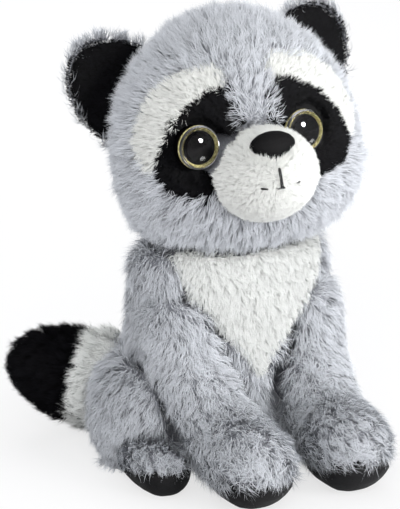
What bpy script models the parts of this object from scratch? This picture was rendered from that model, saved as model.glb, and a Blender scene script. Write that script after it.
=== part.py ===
"""A sitting plush raccoon, 25 cm tall, with a turned head, safety eyes and a ringed tail.

Frame: metres, +Z up. The raccoon looks along -Y, its left side is +X, and the origin is on the floor,
in the middle of the flat seat. Head pieces are modelled about the middle of the head and hang on an
empty that carries the turn, the nod and the tilt of the head. Surfaces stand for the mean outside of
the pile, and every two pieces that meet are kept apart by SEAM_GAP.
"""
import math

import bmesh
import bpy
import numpy as np
from mathutils import Matrix, Vector

for old in list(bpy.data.objects):
    bpy.data.objects.remove(old)

# Driving dimensions, in metres and degrees
SEAM_GAP = 0.0003            # clear space between two pieces that meet
PATCH_THICKNESS = 0.0030     # short-pile patches set into the long fur
PATCH_RECESS = 0.0018        # how far the short pile lies below the long fur around it

HEAD_CENTRE = (0.0, 0.0, 0.1795)
HEAD_HALF_WIDTH = 0.0665
HEAD_HALF_HEIGHT = 0.0650
HEAD_FACE_DEPTH = 0.0500     # from the middle of the head to the face
HEAD_BACK_DEPTH = 0.0560     # from the middle of the head to its back
CHEEK_FULLNESS = 0.11        # how much wider the cheeks are than the forehead, as a share
JAW_SQUARENESS = 2.6         # 2 is an ellipse, more is a squarer jaw
HEAD_TURN = -13.0            # to its right
HEAD_NOD = -10.0             # face lifted
HEAD_TILT = -7.0             # left ear up

MUZZLE_CENTRE = (0.0, -0.0440, -0.0215)
MUZZLE_HALF_SIZES = (0.0275, 0.0290, 0.0245)
NOSE_HEIGHT = -0.0075        # above the middle of the head
NOSE_HALF_SIZES = (0.0124, 0.0060, 0.0080)
NOSE_TAPER = 0.22            # how much narrower its foot is than its middle, as a share
NOSE_STAND = 0.0005          # how far the nose's middle lies behind the muzzle's surface
NOSE_LEAN = -24.0            # the nose faces forward and a little up
STITCH_RADIUS = 0.0005
STITCH_DROP = 0.0105         # length of the upright stitch
SMILE_HALF_WIDTH = 0.0105
SMILE_RISE = 0.0016
STITCH_TOP = -0.0180

EYE_SPACING = 0.0572         # between the middles of the two eyes
EYE_HEIGHT = -0.0032
EYE_FORWARD = 0.0365         # of the eye's back plane, ahead of the middle of the head
EYE_SPLAY = 16.0             # each eye faces outwards by this angle
DOME_RADIUS = 0.0117
DOME_RISE = 0.0062
DOME_RIM = 0.0009
PUPIL_RADIUS = 0.0086
PUPIL_THICKNESS = 0.0012
IRIS_THICKNESS = 0.0008
SHANK_RADIUS = 0.0025
SHANK_LENGTH = 0.0125
WASHER_RADIUS = 0.0080
WASHER_THICKNESS = 0.0015
WASHER_DEPTH = 0.0090        # of the washer's front face, behind the iris

EAR_FOOT = (0.0410, 0.0145, 0.0180)   # middle of the ear's seam on the head
EAR_LEAN = 16.0              # the seam leans outwards from the upright by this angle
EAR_SWEEP = 31.0             # the ear is swept back by this angle
EAR_HALF_LENGTH = 0.0325     # along the seam
EAR_REACH = 0.0440           # from the seam outwards
EAR_SHEAR = 0.31             # rise of the ear's tip above its foot, per length outwards
EAR_SQUARENESS = 2.2         # 2 is an ellipse, more squares its corners
EAR_THICKNESS = 0.0105
EAR_CUP = 0.0080             # how far the rim curls forward
EAR_RIM = 0.10               # width of the long-haired rim around the dark front, as a share

TORSO_HALF_WIDTH = 0.0580
TORSO_HALF_DEPTH = 0.0385
TORSO_MIDDLE_Y = 0.0080
TORSO_TOP = 0.1370
SEAT_HALF_WIDTH = 0.0420
SEAT_HALF_DEPTH = 0.0360

LEG_RADIUS = 0.0245
LEG_SPREAD = 0.0572          # between the middles of the two front paws
LEG_REACH = 0.0740           # of the paw's middle, ahead of the origin
PAW_CENTRE_HEIGHT = 0.0215
SHOULDER_HEIGHT = 0.1000
SHOULDER_SPREAD = 0.0720

HAUNCH_CENTRE = (0.0470, 0.0120, 0.0280)
HAUNCH_HALF_SIZES = (0.0285, 0.0420, 0.0370)
FOOT_HALF_WIDTH = 0.0160
FOOT_CENTRE_HEIGHT = 0.0128
FOOT_SPREAD = 0.1180         # between the middles of the two hind feet
FOOT_TOE_Y = -0.0510
SOLE_HEEL_HEIGHT = 0.0090    # height of the sole's upper edge at its heel
SOLE_TOE_HEIGHT = 0.0160     # and at its toe
SOLE_SLOPE_LENGTH = 0.0450   # over which it rises
FRONT_SOLE_HEEL = 0.0220     # behind the middle of the front paw
HIND_SOLE_HEEL_Y = 0.0120
SOLE_INSET = 0.0010          # the sole's short pile lies inside the long fur

TAIL_RADIUS = 0.0290
TAIL_ROOT = (-0.0030, 0.0360, 0.0250)
TAIL_POINT = (-0.0870, 0.1020, 0.0400)
RING_START = 0.41            # where the pale ring starts, as a share of the tail's length
RING_END = 0.615             # and where the dark tip starts

CAP_TORSO = 0.0220           # length over which each end of a stuffed tube is rounded
CAP_LEG = 0.0220
CAP_FOOT = 0.0150
CAP_TAIL = 0.0120

GREY = (0.42, 0.44, 0.49)
WHITE = (0.80, 0.80, 0.78)
BLACK = (0.012, 0.012, 0.014)
GOLD = (0.45, 0.36, 0.12)
CLEAR = (0.75, 0.78, 0.80)

# Patches, as closed curves through (x, z) points: mask and brow about the middle of the head, on its
# left side, and the bib on the torso's front
MASK_OUTLINE = [(0.0160, 0.0240), (0.0125, 0.0120), (0.0130, -0.0020), (0.0180, -0.0200), (0.0265, -0.0275),
                (0.0385, -0.0262), (0.0480, -0.0215), (0.0520, -0.0130), (0.0480, -0.0010), (0.0420, 0.0090),
                (0.0300, 0.0185)]
BROW_OUTLINE = [(0.0130, 0.0345), (0.0145, 0.0220), (0.0300, 0.0150), (0.0420, 0.0050), (0.0490, -0.0050),
                (0.0545, -0.0120), (0.0590, -0.0010), (0.0550, 0.0150), (0.0440, 0.0285), (0.0280, 0.0350)]
BIB_OUTLINE = [(0.0, 0.0510), (0.0055, 0.0625), (0.0130, 0.0715), (0.0235, 0.0820), (0.0325, 0.0900),
               (0.0372, 0.1010), (0.0378, 0.1300), (-0.0378, 0.1300), (-0.0372, 0.1010), (-0.0325, 0.0900),
               (-0.0235, 0.0820), (-0.0130, 0.0715), (-0.0055, 0.0625)]

SIDES = (("left", 1.0), ("right", -1.0))
CUT_REACH = 0.20             # how far a cutting block reaches, past the whole toy


def plain_material(name, colour, roughness):
    """Principled material of one colour."""
    material = bpy.data.materials.new(name)
    material.use_nodes = True
    shader = material.node_tree.nodes["Principled BSDF"]
    shader.inputs["Base Color"].default_value = (*colour, 1.0)
    shader.inputs["Roughness"].default_value = roughness
    shader.inputs["Metallic"].default_value = 0.0
    return material


def solid_mesh(name, points, faces):
    """Mesh from computed points and faces, with its normals pointing out."""
    mesh = bpy.data.meshes.new(name)
    mesh.from_pydata([tuple(p) for p in points], [], faces)
    shell = bmesh.new()
    shell.from_mesh(mesh)
    bmesh.ops.remove_doubles(shell, verts=shell.verts, dist=1e-6)
    bmesh.ops.recalc_face_normals(shell, faces=shell.faces)
    shell.to_mesh(mesh)
    shell.free()
    mesh.shade_smooth()
    mesh.set_sharp_from_angle(angle=math.radians(40.0))
    return mesh


def add_object(name, mesh, colour, roughness, parent=None):
    """Visible piece with its own material."""
    piece = bpy.data.objects.new(name, mesh)
    bpy.context.scene.collection.objects.link(piece)
    mesh.materials.append(plain_material(name + "_finish", colour, roughness))
    piece.parent = parent
    return piece


def add_cutter(name, mesh, parent=None):
    """Guide solid that only cuts others."""
    piece = bpy.data.objects.new(name, mesh)
    bpy.context.scene.collection.objects.link(piece)
    piece.hide_render = True
    piece.display_type = "WIRE"
    piece.parent = parent
    return piece


def cut(target, tool, operation="DIFFERENCE"):
    """Boolean modifier on the target."""
    step = target.modifiers.new(tool.name, "BOOLEAN")
    step.operation = operation
    step.solver = "EXACT"
    step.object = tool


def add_empty(name, location, rotation):
    empty = bpy.data.objects.new(name, None)
    bpy.context.scene.collection.objects.link(empty)
    empty.location = location
    empty.rotation_euler = rotation
    return empty


def mirrored(mesh, side):
    """The mesh itself on the left side (+X), or its mirror image on the right side."""
    if side > 0:
        return mesh
    shell = bmesh.new()
    shell.from_mesh(mesh)
    bmesh.ops.scale(shell, vec=(-1.0, 1.0, 1.0), verts=shell.verts)
    bmesh.ops.reverse_faces(shell, faces=shell.faces)
    copy = bpy.data.meshes.new(mesh.name + "_mirrored")
    shell.to_mesh(copy)
    shell.free()
    copy.shade_smooth()
    copy.set_sharp_from_angle(angle=math.radians(40.0))
    return copy


def ring_faces(rings, segments):
    """Faces of a tube of rings with one pole point at each end, the poles being the last two points."""
    faces = []
    for r in range(rings - 1):
        for s in range(segments):
            t = (s + 1) % segments
            faces.append((r * segments + s, r * segments + t, (r + 1) * segments + t, (r + 1) * segments + s))
    first, last = rings * segments, rings * segments + 1
    for s in range(segments):
        t = (s + 1) % segments
        faces.append((first, t, s))
        faces.append((last, (rings - 1) * segments + s, (rings - 1) * segments + t))
    return faces


def smooth_path(stations, t):
    """Catmull-Rom curve through the stations, whose columns may hold places and half sizes alike."""
    rows = np.asarray(stations, float)
    rows = np.vstack([2 * rows[0] - rows[1], rows, 2 * rows[-1] - rows[-2]])
    t = np.clip(t, 0.0, 1.0) * (len(rows) - 3)
    i = np.minimum(t.astype(int), len(rows) - 4)
    f = (t - i)[:, None]
    p0, p1, p2, p3 = rows[i], rows[i + 1], rows[i + 2], rows[i + 3]
    return 0.5 * (2 * p1 + (p2 - p0) * f + (2 * p0 - 5 * p1 + 4 * p2 - p3) * f**2
                  + (3 * p1 - p0 - 3 * p2 + p3) * f**3)


def loft(name, stations, cap, grow=0.0, span=(0.0, 1.0), rings=20, segments=26, side=(1.0, 0.0, 0.0)):
    """Stuffed tube through stations (x, y, z, half width, half height).

    Each ring is an ellipse across the path, its width towards side. An end of the full path is rounded
    over the length cap, and an end that span cuts off inside the path stays flat. grow makes the whole
    form larger.
    """
    even = np.linspace(0.0, 1.0, 400)
    dense = smooth_path(stations, even)
    step = np.linalg.norm(np.diff(dense[:, :3], axis=0), axis=1)
    length = np.concatenate([[0.0], np.cumsum(step)])
    total = length[-1]
    start = span[0] * total if span[0] > 0 else -grow
    stop = span[1] * total if span[1] < 1 else total + grow
    share = (1 - np.cos(np.pi * (np.arange(rings) + 0.5) / rings)) / 2
    if span[0] > 0:
        share = np.insert(share, 0, 0.0)
    if span[1] < 1:
        share = np.append(share, 1.0)
    s = start + share * (stop - start)
    row = smooth_path(stations, np.interp(s, length, even))
    ahead = smooth_path(stations, np.interp(np.clip(s + 1e-4, 1e-4, total), length, even))
    behind = smooth_path(stations, np.interp(np.clip(s - 1e-4, 0.0, total - 1e-4), length, even))
    tangent = ahead[:, :3] - behind[:, :3]
    tangent /= np.linalg.norm(tangent, axis=1)[:, None]
    centre = row[:, :3] + tangent * np.clip(s, None, 0.0)[:, None]
    centre += tangent * np.clip(s - total, 0.0, None)[:, None]
    rounding = np.ones(len(s))
    if span[0] <= 0:
        rounding = np.sqrt(1 - np.clip(1 - (s + grow) / (cap + grow), 0.0, 1.0) ** 2)
    if span[1] >= 1:
        rounding *= np.sqrt(1 - np.clip(1 - (total + grow - s) / (cap + grow), 0.0, 1.0) ** 2)
    across = np.asarray(side) - tangent * (tangent @ np.asarray(side))[:, None]
    across /= np.linalg.norm(across, axis=1)[:, None]
    over = np.cross(tangent, across)
    angle = 2 * np.pi * (np.arange(segments) + 0.5) / segments
    wide = (row[:, 3] + grow) * rounding
    high = (row[:, 4] + grow) * rounding
    ring = (centre[:, None, :]
            + across[:, None, :] * (wide[:, None] * np.cos(angle))[:, :, None]
            + over[:, None, :] * (high[:, None] * np.sin(angle))[:, :, None])
    first = centre[0] - tangent[0] * (s[0] - start)
    last = centre[-1] + tangent[-1] * (stop - s[-1])
    points = np.vstack([ring.reshape(-1, 3), first, last])
    return solid_mesh(name, points, ring_faces(len(s), segments))


def ball(name, centre, half_sizes, grow=0.0, rings=10, segments=18, shape=None):
    """Ellipsoid, whose unit directions shape may bend before they are scaled."""
    up = np.pi * (np.arange(rings) + 0.5) / rings
    angle = np.linspace(0.0, 2 * np.pi, segments, endpoint=False)
    unit = np.stack([np.outer(np.sin(up), np.cos(angle)), np.outer(np.sin(up), np.sin(angle)),
                     np.outer(np.cos(up), np.ones(segments))], axis=2).reshape(-1, 3)
    unit = np.vstack([unit, (0.0, 0.0, 1.0), (0.0, 0.0, -1.0)])
    if shape is None:
        points = unit * (np.asarray(half_sizes) + grow)
    else:
        points = shape(unit, grow)
    return solid_mesh(name, points + np.asarray(centre), ring_faces(rings, segments))


def head_form(grow=0.0):
    """The head without its patches: an ellipsoid, flatter at the face and fuller at the cheeks."""
    def shape(unit, more):
        x, y, z = unit.T
        depth = np.where(y < 0, HEAD_FACE_DEPTH, HEAD_BACK_DEPTH)
        level = np.minimum(np.abs(z), 0.9999)
        jaw = (1 - level**JAW_SQUARENESS) ** (1 / JAW_SQUARENESS) / np.sqrt(1 - level**2)
        fuller = np.where(z < 0, jaw, 1.0)
        wide = (HEAD_HALF_WIDTH + more) * (1 - CHEEK_FULLNESS * z) * fuller
        return np.stack([x * wide, y * (depth + more) * fuller, z * (HEAD_HALF_HEIGHT + more)], axis=1)
    return ball("head_form", (0.0, 0.0, 0.0), None, grow, rings=20, segments=32, shape=shape)


def prism(name, outline, front, back, grow=0.0, steps=3):
    """Straight block along Y whose outline is a closed smooth curve through (x, z) points."""
    corners = np.asarray(outline, float)
    count = len(corners)
    rows = []
    for i in range(count):
        p0, p1, p2, p3 = (corners[(i + k) % count] for k in (-1, 0, 1, 2))
        for f in np.arange(steps) / steps:
            rows.append(0.5 * (2 * p1 + (p2 - p0) * f + (2 * p0 - 5 * p1 + 4 * p2 - p3) * f**2
                               + (3 * p1 - p0 - 3 * p2 + p3) * f**3))
    rows = np.array(rows)
    along = np.roll(rows, -1, axis=0) - np.roll(rows, 1, axis=0)
    normal = np.stack([along[:, 1], -along[:, 0]], axis=1)
    normal /= np.linalg.norm(normal, axis=1)[:, None]
    area = np.sum(rows[:, 0] * np.roll(rows[:, 1], -1) - rows[:, 1] * np.roll(rows[:, 0], -1))
    rows = rows + normal * grow * np.sign(area)
    shell = bmesh.new()
    verts = [shell.verts.new((x, front, z)) for x, z in rows]
    face = shell.faces.new(verts)
    made = bmesh.ops.extrude_face_region(shell, geom=[face])["geom"]
    moved = [v for v in made if isinstance(v, bmesh.types.BMVert)]
    bmesh.ops.translate(shell, verts=moved, vec=(0.0, back - front, 0.0))
    bmesh.ops.recalc_face_normals(shell, faces=shell.faces)
    mesh = bpy.data.meshes.new(name)
    shell.to_mesh(mesh)
    shell.free()
    return mesh


def turned(name, profile, segments=18):
    """Solid of revolution about its own Z from (radius, height) points, first and last on the axis."""
    angle = np.linspace(0.0, 2 * np.pi, segments, endpoint=False)
    inner = np.asarray(profile[1:-1], float)
    ring = np.stack([np.outer(inner[:, 0], np.cos(angle)), np.outer(inner[:, 0], np.sin(angle)),
                     np.outer(inner[:, 1], np.ones(segments))], axis=2).reshape(-1, 3)
    points = np.vstack([ring, (0, 0, profile[0][1]), (0, 0, profile[-1][1])])
    return solid_mesh(name, points, ring_faces(len(inner), segments))


def turned_ring(name, inner, outer, bottom, top, segments=18):
    """Flat ring about its own Z."""
    shell = bmesh.new()
    square = ((inner, bottom), (outer, bottom), (outer, top), (inner, top))
    corners = [shell.verts.new((r, 0.0, z)) for r, z in square]
    edges = [shell.edges.new((corners[i], corners[(i + 1) % 4])) for i in range(4)]
    bmesh.ops.spin(shell, geom=corners + edges, cent=(0, 0, 0), axis=(0, 0, 1),
                   angle=2 * math.pi, steps=segments, use_merge=True)
    bmesh.ops.remove_doubles(shell, verts=shell.verts, dist=1e-6)
    bmesh.ops.recalc_face_normals(shell, faces=shell.faces)
    mesh = bpy.data.meshes.new(name)
    shell.to_mesh(mesh)
    shell.free()
    return mesh


def eight_corners(name, points):
    """Six-sided solid whose corners run over x, then y, then z."""
    faces = [(0, 1, 3, 2), (4, 6, 7, 5), (0, 4, 5, 1), (2, 3, 7, 6), (0, 2, 6, 4), (1, 5, 7, 3)]
    return solid_mesh(name, points, faces)


def block(name, x_span, y_span, z_span):
    return eight_corners(name, [(x, y, z) for x in x_span for y in y_span for z in z_span])


def half_space(name, height_at, below, y_high=CUT_REACH):
    """Block under (or over) a plane whose height is height_at(y)."""
    far = -CUT_REACH if below else CUT_REACH
    return eight_corners(name, [(x, y, z) for x in (-CUT_REACH, CUT_REACH) for y in (-CUT_REACH, y_high)
                                for z in (height_at(y), far)])


# Stations of the stuffed tubes: x, y, z, half width, half height
def torso_stations():
    y = TORSO_MIDDLE_Y
    w, d = TORSO_HALF_WIDTH, TORSO_HALF_DEPTH
    return [(0, y, -0.012, SEAT_HALF_WIDTH, SEAT_HALF_DEPTH),
            (0, y, 0.022, w * 0.93, d * 1.05),
            (0, y, 0.055, w, d * 1.04),
            (0, y - 0.001, 0.088, w, d * 0.98),
            (0, y - 0.003, TORSO_TOP - 0.023, w * 0.98, d * 0.94),
            (0, y - 0.004, TORSO_TOP, w * 0.88, d * 0.82)]


def leg_stations():
    half, r = LEG_SPREAD / 2, LEG_RADIUS
    reach, low = LEG_REACH, PAW_CENTRE_HEIGHT
    top = SHOULDER_HEIGHT
    return [(SHOULDER_SPREAD / 2, 0.000, top + 0.006, r * 0.84, r * 0.86),
            (SHOULDER_SPREAD / 2, -0.004, top - 0.016, r * 1.00, r * 1.04),
            (half + 0.0050, -0.014, (top + low) / 2 - 0.004, r * 0.98, r * 0.98),
            (half + 0.0020, -0.038, low + 0.0105, r * 0.95, r * 0.90),
            (half, -reach + 0.008, low + 0.001, r, r * 0.95),
            (half, -reach - 0.012, low - 0.002, r * 0.95, r * 0.90),
            (half, -reach - 0.023, low - 0.0035, r * 0.86, r * 0.82)]


def foot_stations():
    half, w, low, toe = FOOT_SPREAD / 2, FOOT_HALF_WIDTH, FOOT_CENTRE_HEIGHT, FOOT_TOE_Y
    return [(half - 0.007, 0.022, low + 0.002, w * 0.86, w * 0.92),
            (half - 0.004, 0.004, low + 0.001, w * 0.97, w),
            (half, toe + 0.030, low, w, w),
            (half + 0.0005, toe, low - 0.0015, w * 0.90, w * 0.88)]


def tail_stations():
    root, tip = Vector(TAIL_ROOT), Vector(TAIL_POINT)
    r = TAIL_RADIUS

    def at(share, rise):
        p = root.lerp(tip, share)
        return p.x, p.y, p.z + rise
    return [(*at(0.00, 0.0), r * 0.82, r * 0.82),
            (*at(0.28, -0.001), r * 0.93, r * 0.92),
            (*at(0.54, -0.002), r, r),
            (*at(0.72, -0.001), r * 0.88, r * 0.88),
            (*at(0.88, 0.0), r * 0.66, r * 0.66),
            (*at(1.00, 0.0), r * 0.42, r * 0.42)]


def face_block(name, outline, grow=0.0):
    """Block that reaches from just ahead of the middle of the head to well past the face."""
    return prism(name, outline, -2 * HEAD_FACE_DEPTH, -HEAD_FACE_DEPTH / 20, grow)


def head_pieces():
    """Head with its muzzle, patches, eyes, ears, nose and mouth; returns the cutter of its form."""
    turn = [math.radians(a) for a in (HEAD_NOD, HEAD_TILT, HEAD_TURN)]
    frame = add_empty("head_frame", HEAD_CENTRE, (0, 0, 0))
    frame.rotation_euler = (Matrix.Rotation(turn[2], 3, "Z") @ Matrix.Rotation(turn[0], 3, "X")
                            @ Matrix.Rotation(turn[1], 3, "Y")).to_euler()
    head = add_object("head", head_form(), GREY, 0.9, frame)
    head_grown = add_cutter("head_grown", head_form(SEAM_GAP), frame)
    patch_top = add_cutter("patch_top", head_form(-PATCH_RECESS), frame)
    patch_floor = add_cutter("patch_floor", head_form(-PATCH_RECESS - PATCH_THICKNESS), frame)
    pocket_floor = add_cutter("pocket_floor", head_form(-PATCH_RECESS - PATCH_THICKNESS - SEAM_GAP), frame)

    muzzle = add_object("muzzle", ball("muzzle", MUZZLE_CENTRE, MUZZLE_HALF_SIZES, rings=14, segments=21),
                        WHITE, 0.85, frame)
    muzzle_grown = add_cutter("muzzle_grown", ball("muzzle_grown", MUZZLE_CENTRE, MUZZLE_HALF_SIZES,
                                                   SEAM_GAP, rings=14, segments=21), frame)
    cut(muzzle, head_grown)

    for name, side in SIDES:
        eye = eye_pieces(name, side, frame)
        mask = add_object(f"eye_mask_{name}", mirrored(face_block("mask", MASK_OUTLINE), side), BLACK, 0.9,
                          frame)
        mask_grown = add_cutter(f"mask_grown_{name}",
                                mirrored(face_block("mask_grown", MASK_OUTLINE, SEAM_GAP), side), frame)
        brow = add_object(f"brow_patch_{name}", mirrored(face_block("brow", BROW_OUTLINE), side), WHITE, 0.85,
                          frame)
        brow_grown = add_cutter(f"brow_grown_{name}",
                                mirrored(face_block("brow_grown", BROW_OUTLINE, SEAM_GAP), side), frame)
        pocket = add_cutter(f"face_pocket_{name}", mask_grown.data.copy(), frame)
        cut(pocket, brow_grown, "UNION")
        cut(pocket, pocket_floor)
        for patch in (mask, brow):
            cut(patch, patch_top, "INTERSECT")
            cut(patch, patch_floor)
        cut(brow, mask_grown)
        cut(mask, muzzle_grown)
        cut(mask, eye)
        cut(head, pocket)
        cut(head, eye)
        cut(muzzle, eye)
        ear_pieces(name, side, frame, head_grown)
    nose_and_mouth(frame, muzzle)
    return head_grown


def eye_pieces(name, side, frame):
    """One safety eye about its own axis: iris disc, pupil with its shank, clear dome and washer.

    Returns the cutter of its seat: the dome's socket, the shank's bore and the washer's pocket.
    """
    seat = add_empty(f"eye_frame_{name}", (side * EYE_SPACING / 2, -EYE_FORWARD, EYE_HEIGHT),
                     (math.pi / 2, 0.0, math.radians(side * EYE_SPLAY)))
    seat.parent = frame
    g = SEAM_GAP
    iris = turned_ring("iris", SHANK_RADIUS + g, DOME_RADIUS, -IRIS_THICKNESS, 0.0)
    add_object(f"eye_iris_{name}", iris, GOLD, 0.35, seat)
    top = g + PUPIL_THICKNESS
    pupil = turned("pupil", [(0, -SHANK_LENGTH), (SHANK_RADIUS * 0.7, -SHANK_LENGTH),
                             (SHANK_RADIUS, -SHANK_LENGTH + 0.0008), (SHANK_RADIUS, g), (PUPIL_RADIUS, g),
                             (PUPIL_RADIUS, top), (0, top)])
    add_object(f"eye_pupil_{name}", pupil, BLACK, 0.15, seat)
    arc = [math.radians(a) for a in (0, 14, 28, 42, 56, 70, 82)]
    crown = [(DOME_RADIUS * math.cos(a), g + DOME_RIM + (DOME_RISE - DOME_RIM) * math.sin(a)) for a in arc]
    hollow = PUPIL_RADIUS + g
    dome = turned("dome", [(0, top + g), (hollow, top + g), (hollow, g), (DOME_RADIUS, g), *crown,
                           (0, g + DOME_RISE)])
    add_object(f"eye_dome_{name}", dome, CLEAR, 0.03, seat)
    back, front = -WASHER_DEPTH - WASHER_THICKNESS, -WASHER_DEPTH
    washer = turned_ring("washer", SHANK_RADIUS + g, WASHER_RADIUS, back, front)
    add_object(f"eye_washer_{name}", washer, WHITE, 0.4, seat)
    bore, pocket, socket = SHANK_RADIUS + g, WASHER_RADIUS + g, DOME_RADIUS + g
    profile = [(0, -SHANK_LENGTH - g), (bore, -SHANK_LENGTH - g), (bore, back - g), (pocket, back - g),
               (pocket, front + g), (bore, front + g), (bore, -IRIS_THICKNESS - g), (socket, -IRIS_THICKNESS - g),
               (socket, DOME_RISE * 4), (0, DOME_RISE * 4)]
    return add_cutter(f"eye_seat_{name}", turned("eye_seat", profile), seat)


def ear_outline(angle):
    """Squared ellipse about the middle of the ear's seam, sheared so that its tip points up and out."""
    power = 2 / EAR_SQUARENESS
    x = EAR_REACH * np.sign(np.cos(angle)) * np.abs(np.cos(angle)) ** power
    y = EAR_HALF_LENGTH * np.sign(np.sin(angle)) * np.abs(np.sin(angle)) ** power
    return x, y + EAR_SHEAR * x


def ear_solid(name, profile, place, segments=26):
    """Profile of (share of the outline, height) carried round the ear's outline, cupped forward."""
    angle = np.linspace(-math.pi, math.pi, segments, endpoint=False)
    out, along = ear_outline(angle)
    inner = np.asarray(profile[1:-1], float)
    x = np.outer(inner[:, 0], out)
    y = np.outer(inner[:, 0], along)
    cup = EAR_CUP * np.clip(x / EAR_REACH, 0.0, None) ** 2
    z = inner[:, 1][:, None] + cup
    points = np.stack([x, y, z], axis=2).reshape(-1, 3)
    points = np.vstack([points, (0, 0, profile[0][1]), (0, 0, profile[-1][1])])
    mesh = solid_mesh(name, points, ring_faces(len(inner), segments))
    mesh.transform(place)
    return mesh


def ear_pieces(name, side, frame, head_grown):
    """Ear of a long-haired back that wraps round its rim, and a short-haired dark front set into it."""
    lean, sweep = math.radians(EAR_LEAN), math.radians(EAR_SWEEP)
    along = Vector((-math.sin(lean), 0.0, math.cos(lean)))
    flat_out = Vector((math.cos(lean), 0.0, math.sin(lean)))
    out = flat_out * math.cos(sweep) + Vector((0.0, 1.0, 0.0)) * math.sin(sweep)
    facing = out.cross(along)
    place = Matrix((out, along, facing)).transposed().to_4x4()
    place.translation = Vector(EAR_FOOT)
    half, g = EAR_THICKNESS / 2, SEAM_GAP
    rim = 1 - EAR_RIM
    sunk = half * 0.35
    floor = sunk - PATCH_THICKNESS
    slack = g / EAR_REACH
    back_profile = [(0, -half), (0.45, -half), (0.75, -half * 0.86), (0.92, -half * 0.45), (1.0, half * 0.05),
                    (0.97, half * 0.55), (0.91, half * 0.80), (rim + slack, half * 0.62),
                    (rim + slack, floor - g), (0.45, floor - g), (0, floor - g)]
    front_profile = [(0, floor), (0.45, floor), (rim, floor), (rim, sunk * 0.9), (rim - 0.06, sunk * 1.25),
                     (0.45, sunk), (0, sunk)]
    back = add_object(f"ear_back_{name}", mirrored(ear_solid("ear_back", back_profile, place), side),
                      GREY, 0.9, frame)
    front = add_object(f"ear_front_{name}", mirrored(ear_solid("ear_front", front_profile, place), side),
                       BLACK, 0.9, frame)
    cut(back, head_grown)
    cut(front, head_grown)


def muzzle_front(x, z):
    """Y of the muzzle's front surface at (x, z)."""
    dx = (x - MUZZLE_CENTRE[0]) / MUZZLE_HALF_SIZES[0]
    dz = (z - MUZZLE_CENTRE[2]) / MUZZLE_HALF_SIZES[2]
    return MUZZLE_CENTRE[1] - MUZZLE_HALF_SIZES[1] * math.sqrt(max(0.0, 1 - dx * dx - dz * dz))


def nose_form(unit, grow):
    """Ellipsoid that narrows towards its foot."""
    x, y, z = unit.T
    wide, deep, high = (half + grow for half in NOSE_HALF_SIZES)
    return np.stack([x * wide * (1 + NOSE_TAPER * np.minimum(z, 0.0)), y * deep, z * high], axis=1)


def nose_and_mouth(frame, muzzle):
    """Stuffed nose sunk half into the muzzle, and the mouth's thread in its own furrow."""
    place = Matrix.Translation((0.0, muzzle_front(0.0, NOSE_HEIGHT) + NOSE_STAND, NOSE_HEIGHT))
    place = place @ Matrix.Rotation(math.radians(NOSE_LEAN), 4, "X")
    for grow in (0.0, SEAM_GAP):
        mesh = ball("nose", (0, 0, 0), None, grow, rings=8, segments=17, shape=nose_form)
        mesh.transform(place)
        if grow:
            cut(muzzle, add_cutter("nose_grown", mesh, frame))
        else:
            add_object("nose", mesh, BLACK, 0.5, frame)
    low = STITCH_TOP - STITCH_DROP
    sunk = STITCH_RADIUS * 0.2
    upright = [(0.0, STITCH_TOP - STITCH_DROP * k / 4) for k in range(5)]
    smile = [(SMILE_HALF_WIDTH * k / 5, low + SMILE_RISE * (k / 5) ** 2) for k in range(-5, 6)]
    for radius, name in ((STITCH_RADIUS, "mouth_stitch"), (STITCH_RADIUS + SEAM_GAP, "stitch_furrow")):
        parts = []
        for line, rings in ((smile, 12), (upright, 6)):
            stations = [(x, muzzle_front(x, z) - sunk, z, radius, radius) for x, z in line]
            parts.append(loft(name, stations, radius, rings=rings, segments=8, side=(0.3, -0.9, 0.3)))
        whole = (add_object(name, parts[0], BLACK, 0.8, frame) if name == "mouth_stitch"
                 else add_cutter(name, parts[0], frame))
        joined = add_cutter(name + "_upright", parts[1], frame)
        cut(whole, joined, "UNION")
        if name != "mouth_stitch":
            cut(muzzle, whole)


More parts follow.
